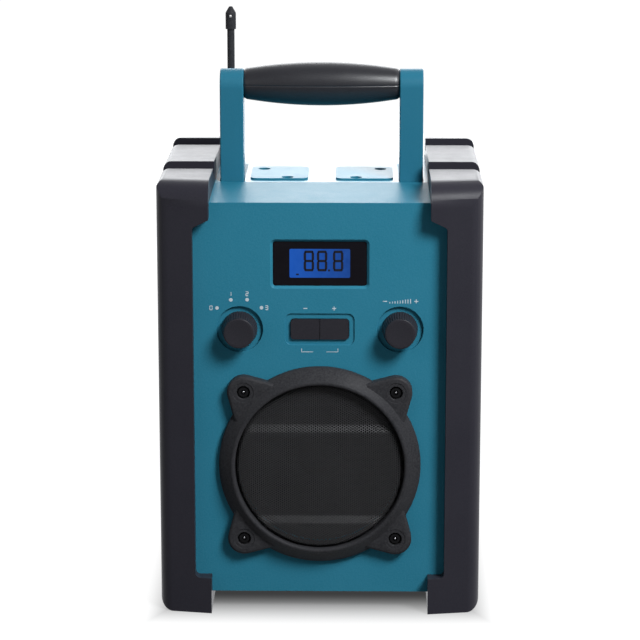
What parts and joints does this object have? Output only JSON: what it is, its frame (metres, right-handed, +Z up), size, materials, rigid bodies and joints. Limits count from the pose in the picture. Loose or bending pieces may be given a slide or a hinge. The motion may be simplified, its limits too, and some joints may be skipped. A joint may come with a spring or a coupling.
{
  "type": "jobsite radio",
  "caption": "Rugged portable radio with rubber side guards, round speaker, display, two knobs, push buttons, folding carry handle and tilting antenna.",
  "frame": {"origin": "on the floor below the middle of the radio's overall box", "axes": "+Z up, -Y towards the speaker side, +X to the viewer's right"},
  "size_m": [0.195, 0.19, 0.352],
  "materials": {
    "blue_plastic": "fine spark texture",
    "blue_handle": "satin moulded",
    "guard_rubber": "matte moulded rubber",
    "grip_rubber": "soft matte rubber",
    "black_plastic": "fine texture",
    "knob_plastic": "satin",
    "grille_metal": "black powder coat",
    "screw_steel": "black oxide",
    "bright_steel": "zinc plated",
    "window_black": "polished",
    "display_blue": "lit",
    "board_green": "solder mask",
    "control_grey": "moulded",
    "paper_cone": "paper",
    "foam_black": "foam",
    "ferrite": "matte",
    "cell_wrap": "satin wrap"
  },
  "bodies": {
    "root": {"front_cover": "blue_plastic", "rear_housing": "blue_plastic", "housing_seal": "foam_black", "guard_left": "guard_rubber", "guard_right": "guard_rubber", "case_screws": "bright_steel", "guard_screws": "screw_steel", "handle_pins": "bright_steel", "handle_bracket": "bright_steel", "top_screws": "screw_steel", "antenna_socket": "black_plastic", "antenna_pin": "bright_steel", "speaker_ring": "black_plastic", "ring_screws": "screw_steel", "speaker_grille": "grille_metal", "speaker_gasket": "foam_black", "speaker_basket": "grille_metal", "speaker_surround": "foam_black", "speaker_cone": "paper_cone", "speaker_dust_cap": "paper_cone", "speaker_magnet": "ferrite", "speaker_screws": "bright_steel", "display_window": "window_black", "display_module": "display_blue", "control_board": "board_green", "board_screws": "bright_steel", "button_switches": "control_grey", "selector_switch": "control_grey", "volume_control": "control_grey", "battery_tray": "black_plastic", "battery_cells": "cell_wrap", "battery_contacts": "bright_steel", "aux_socket": "black_plastic", "dc_socket": "black_plastic", "main_board": "board_green"},
    "handle": {"handle_frame": "blue_handle", "handle_grip": "grip_rubber"},
    "selector": {"selector_knob": "knob_plastic", "selector_shaft": "bright_steel"},
    "volume": {"volume_knob": "knob_plastic", "volume_shaft": "bright_steel"},
    "button_left": {"button_down": "knob_plastic"},
    "button_right": {"button_up": "knob_plastic"},
    "door": {"battery_door": "blue_plastic", "door_seal": "foam_black"},
    "flap": {"socket_cover": "guard_rubber"},
    "whip": {"antenna_knuckle": "black_plastic", "antenna_whip": "black_plastic", "antenna_tip": "black_plastic"}
  },
  "joints": [
    {"name": "handle_fold", "type": "hinge", "parent": "root", "child": "handle", "pos_m": [0, -0.0005, 0.25], "axis": [-1, 0, 0], "range_deg": [0, 73]},
    {"name": "selector_turn", "type": "hinge", "parent": "root", "child": "selector", "pos_m": [-0.0482, -0.083, 0.1767], "axis": [0, 1, 0], "range_deg": [-30, 60]},
    {"name": "volume_turn", "type": "hinge", "parent": "root", "child": "volume", "pos_m": [0.0482, -0.083, 0.1767], "axis": [0, 1, 0], "range_deg": [-150, 150]},
    {"name": "button_down_press", "type": "slide", "parent": "root", "child": "button_left", "axis": [0, 1, 0], "range_m": [0, 0.0012], "stiffness_N_per_m": 900},
    {"name": "button_up_press", "type": "slide", "parent": "root", "child": "button_right", "axis": [0, 1, 0], "range_m": [0, 0.0012], "stiffness_N_per_m": 900},
    {"name": "battery_door_open", "type": "hinge", "parent": "root", "child": "door", "pos_m": [0, 0.0856, 0.0319], "axis": [-1, 0, 0], "range_deg": [0, 95]},
    {"name": "socket_cover_open", "type": "hinge", "parent": "root", "child": "flap", "pos_m": [0.0355, 0.08575, 0.18825], "axis": [-1, 0, 0], "range_deg": [0, 95]},
    {"name": "antenna_tilt", "type": "hinge", "parent": "root", "child": "whip", "pos_m": [-0.06, 0.08, 0.262], "axis": [0, 1, 0], "range_deg": [0, 90]}
  ]
}
